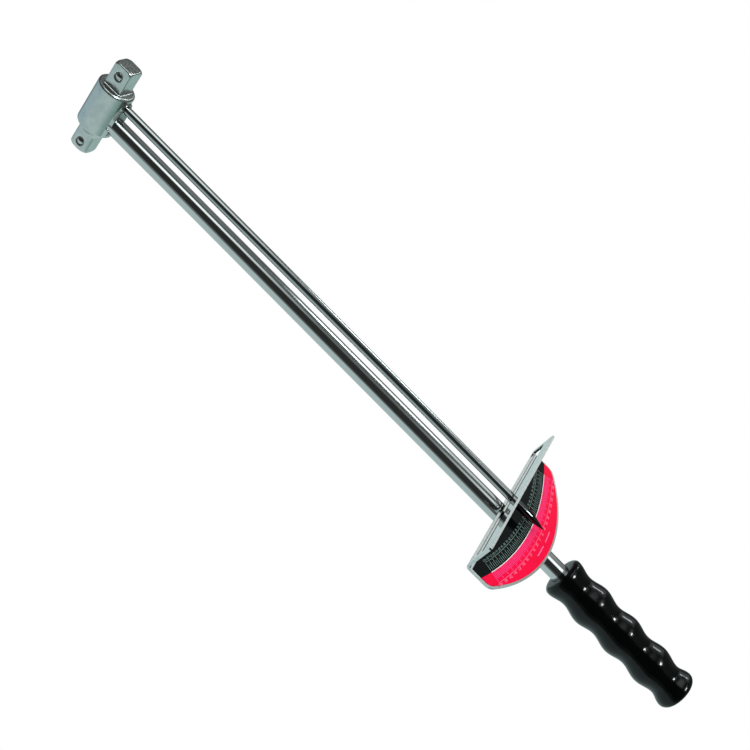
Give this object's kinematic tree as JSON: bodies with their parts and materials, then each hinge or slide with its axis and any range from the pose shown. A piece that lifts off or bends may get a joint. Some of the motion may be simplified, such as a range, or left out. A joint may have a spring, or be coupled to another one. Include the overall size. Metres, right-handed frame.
{
  "type": "torque wrench",
  "caption": "Deflecting-beam torque wrench: T-head with a square at both ends, steel beam, pointer rod over a bent scale plate, ridged black grip.",
  "frame": {"origin": "the point where the drive axis of both squares crosses the beam's centre line, inside the head", "axes": "+X along the beam from the head to the grip; +Y across the beam, in the plane the beam bends in; +Z along the drive axis, towards the upper square and the side that the scale faces"},
  "size_m": [0.5092, 0.1384, 0.0653],
  "materials": {
    "head_chrome": "satin chrome over a forged and turned steel head",
    "bar_chrome": "bright chrome on a ground round bar",
    "plate_chrome": "bright chrome on a stamped sheet",
    "bearing_steel": "polished hardened steel ball",
    "spring_steel": "drawn spring wire",
    "screw_steel": "plain zinc-plated screws",
    "scale_print": "printed scale sheet, black inner field and crimson outer field, semi-gloss",
    "grip_plastic": "glossy black moulded plastic"
  },
  "bodies": {
    "head": {"drive_head": "head_chrome", "upper_detent_spring": "spring_steel", "lower_detent_spring": "spring_steel", "beam": "bar_chrome", "pointer_rod": "bar_chrome"},
    "handle": {"scale_plate": "plate_chrome", "scale_label": "scale_print", "plate_screws": "screw_steel", "grip": "grip_plastic"},
    "upper_ball": {"upper_detent_ball": "bearing_steel"},
    "lower_ball": {"lower_detent_ball": "bearing_steel"}
  },
  "joints": [
    {"name": "beam_flex", "type": "hinge", "parent": "head", "child": "handle", "pos_m": [0.17, 0, 0], "axis": [0, 0, 1], "range_deg": [-17.5, 17.5], "stiffness_Nm_per_rad": 415, "deforming": ["beam"]},
    {"name": "upper_ball_press", "type": "slide", "parent": "head", "child": "upper_ball", "axis": [0, 1, 0], "range_m": [0, 0.0008], "stiffness_N_per_m": 800, "springref_m": -0.0015, "deforming": ["upper_detent_spring"]},
    {"name": "lower_ball_press", "type": "slide", "parent": "head", "child": "lower_ball", "axis": [0, 1, 0], "range_m": [0, 0.0008], "stiffness_N_per_m": 800, "springref_m": -0.0015, "deforming": ["lower_detent_spring"]}
  ]
}
